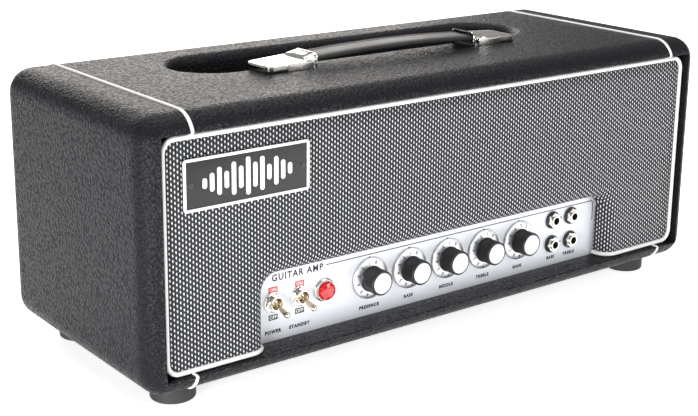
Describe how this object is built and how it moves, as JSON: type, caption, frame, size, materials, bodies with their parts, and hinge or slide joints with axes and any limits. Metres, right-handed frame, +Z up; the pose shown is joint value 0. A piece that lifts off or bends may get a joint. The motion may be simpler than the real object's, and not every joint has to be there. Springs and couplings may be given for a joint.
{
  "type": "guitar amp head",
  "caption": "Valve guitar amp head: black vinyl cabinet with white piping, recessed silver control panel with rotary controls, toggle switches and jacks, and a strap handle over a well.",
  "frame": {"origin": "on the floor under the middle of the cabinet, level with the undersides of the feet", "axes": "+X to the right along the cabinet's length as seen from the front, +Y to the back, +Z up; the control panel faces -Y"},
  "size_m": [0.59, 0.2356, 0.2418],
  "materials": {
    "plywood": "birch plywood, bare on the inside",
    "vinyl": "black pebbled cabinet vinyl, satin",
    "white_piping": "white plastic piping",
    "rubber_black": "black rubber",
    "zinc_screw": "zinc-plated steel",
    "grille_fabric": "black weave with white dashes",
    "badge_black": "gloss black plate",
    "badge_white": "raised white enamel",
    "nickel": "bright nickel plate",
    "panel_silver": "fine satin silver",
    "chassis_steel": "zinc-plated steel sheet",
    "knob_black": "black moulded plastic with a spun aluminium dial and cap",
    "switch_brown": "phenolic switch body",
    "jewel_red": "red faceted lens",
    "jack_black": "black nylon",
    "jack_metal": "nickel-plated brass and black housing",
    "strap_black": "ribbed black moulded strap",
    "vent_black": "black painted steel",
    "inlet_black": "black moulded plastic",
    "core_steel": "black varnished laminations",
    "coil_paper": "varnished paper wrap",
    "valve_glass": "clear glass",
    "ceramic": "ceramic socket",
    "capacitor_blue": "blue sleeve",
    "board_green": "green circuit board"
  },
  "bodies": {
    "cabinet": {"top_board": "plywood", "bottom_board": "plywood", "left_board": "plywood", "right_board": "plywood", "vinyl_covering": "vinyl", "cabinet_piping": "white_piping", "handle_well": "vinyl", "cleats": "plywood", "feet": "rubber_black", "foot_screws": "zinc_screw", "grille_board": "plywood", "grille_cloth": "grille_fabric", "grille_piping": "white_piping", "grille_screws": "zinc_screw", "badge_plate": "badge_black", "badge_emblem": "badge_white", "badge_screws": "zinc_screw", "handle_caps": "nickel", "handle_plates": "zinc_screw", "handle_screws": "zinc_screw", "control_panel": "panel_silver", "chassis": "chassis_steel", "chassis_bolts": "zinc_screw", "pots": "chassis_steel", "pot_nuts": "nickel", "switch_bodies": "switch_brown", "switch_nuts": "nickel", "lamp_bezel": "nickel", "lamp_lens": "jewel_red", "lamp_holder": "chassis_steel", "input_jacks": "jack_metal", "jack_washers": "jack_black", "jack_nuts": "nickel", "back_board": "vinyl", "vent_mesh": "vent_black", "back_screws": "nickel", "rear_panel": "panel_silver", "mains_inlet": "inlet_black", "fuse_holders": "inlet_black", "speaker_jacks": "jack_metal", "transformer_cores": "core_steel", "transformer_coils": "coil_paper", "power_valves": "valve_glass", "preamp_valves": "valve_glass", "valve_sockets": "ceramic", "filter_capacitors": "capacitor_blue", "circuit_board": "board_green"},
    "control_presence": {"knob_presence": "knob_black", "shaft_presence": "zinc_screw"},
    "control_bass": {"knob_bass": "knob_black", "shaft_bass": "zinc_screw"},
    "control_middle": {"knob_middle": "knob_black", "shaft_middle": "zinc_screw"},
    "control_treble": {"knob_treble": "knob_black", "shaft_treble": "zinc_screw"},
    "control_gain": {"knob_gain": "knob_black", "shaft_gain": "zinc_screw"},
    "switch_power": {"power_lever": "nickel"},
    "switch_standby": {"standby_lever": "nickel"},
    "strap": {"handle_strap": "strap_black"}
  },
  "joints": [
    {"name": "turn_presence", "type": "hinge", "parent": "cabinet", "child": "control_presence", "pos_m": [-0.0767, -0.1, 0.0628], "axis": [0, 1, 0], "range_deg": [-18, 282]},
    {"name": "turn_bass", "type": "hinge", "parent": "cabinet", "child": "control_bass", "pos_m": [-0.0346, -0.1, 0.0628], "axis": [0, 1, 0], "range_deg": [-24, 276]},
    {"name": "turn_middle", "type": "hinge", "parent": "cabinet", "child": "control_middle", "pos_m": [0.0075, -0.1, 0.0628], "axis": [0, 1, 0], "range_deg": [-30, 270]},
    {"name": "turn_treble", "type": "hinge", "parent": "cabinet", "child": "control_treble", "pos_m": [0.0496, -0.1, 0.0628], "axis": [0, 1, 0], "range_deg": [-36, 264]},
    {"name": "turn_gain", "type": "hinge", "parent": "cabinet", "child": "control_gain", "pos_m": [0.0917, -0.1, 0.0628], "axis": [0, 1, 0], "range_deg": [-90, 210]},
    {"name": "flick_power", "type": "hinge", "parent": "cabinet", "child": "switch_power", "pos_m": [-0.1722, -0.0942, 0.0628], "axis": [-1, 0, 0], "range_deg": [0, 30]},
    {"name": "flick_standby", "type": "hinge", "parent": "cabinet", "child": "switch_standby", "pos_m": [-0.1469, -0.0942, 0.0628], "axis": [-1, 0, 0], "range_deg": [0, 30]},
    {"name": "strap_shift", "type": "slide", "parent": "cabinet", "child": "strap", "axis": [1, 0, 0], "range_m": [-0.003, 0.003]}
  ]
}
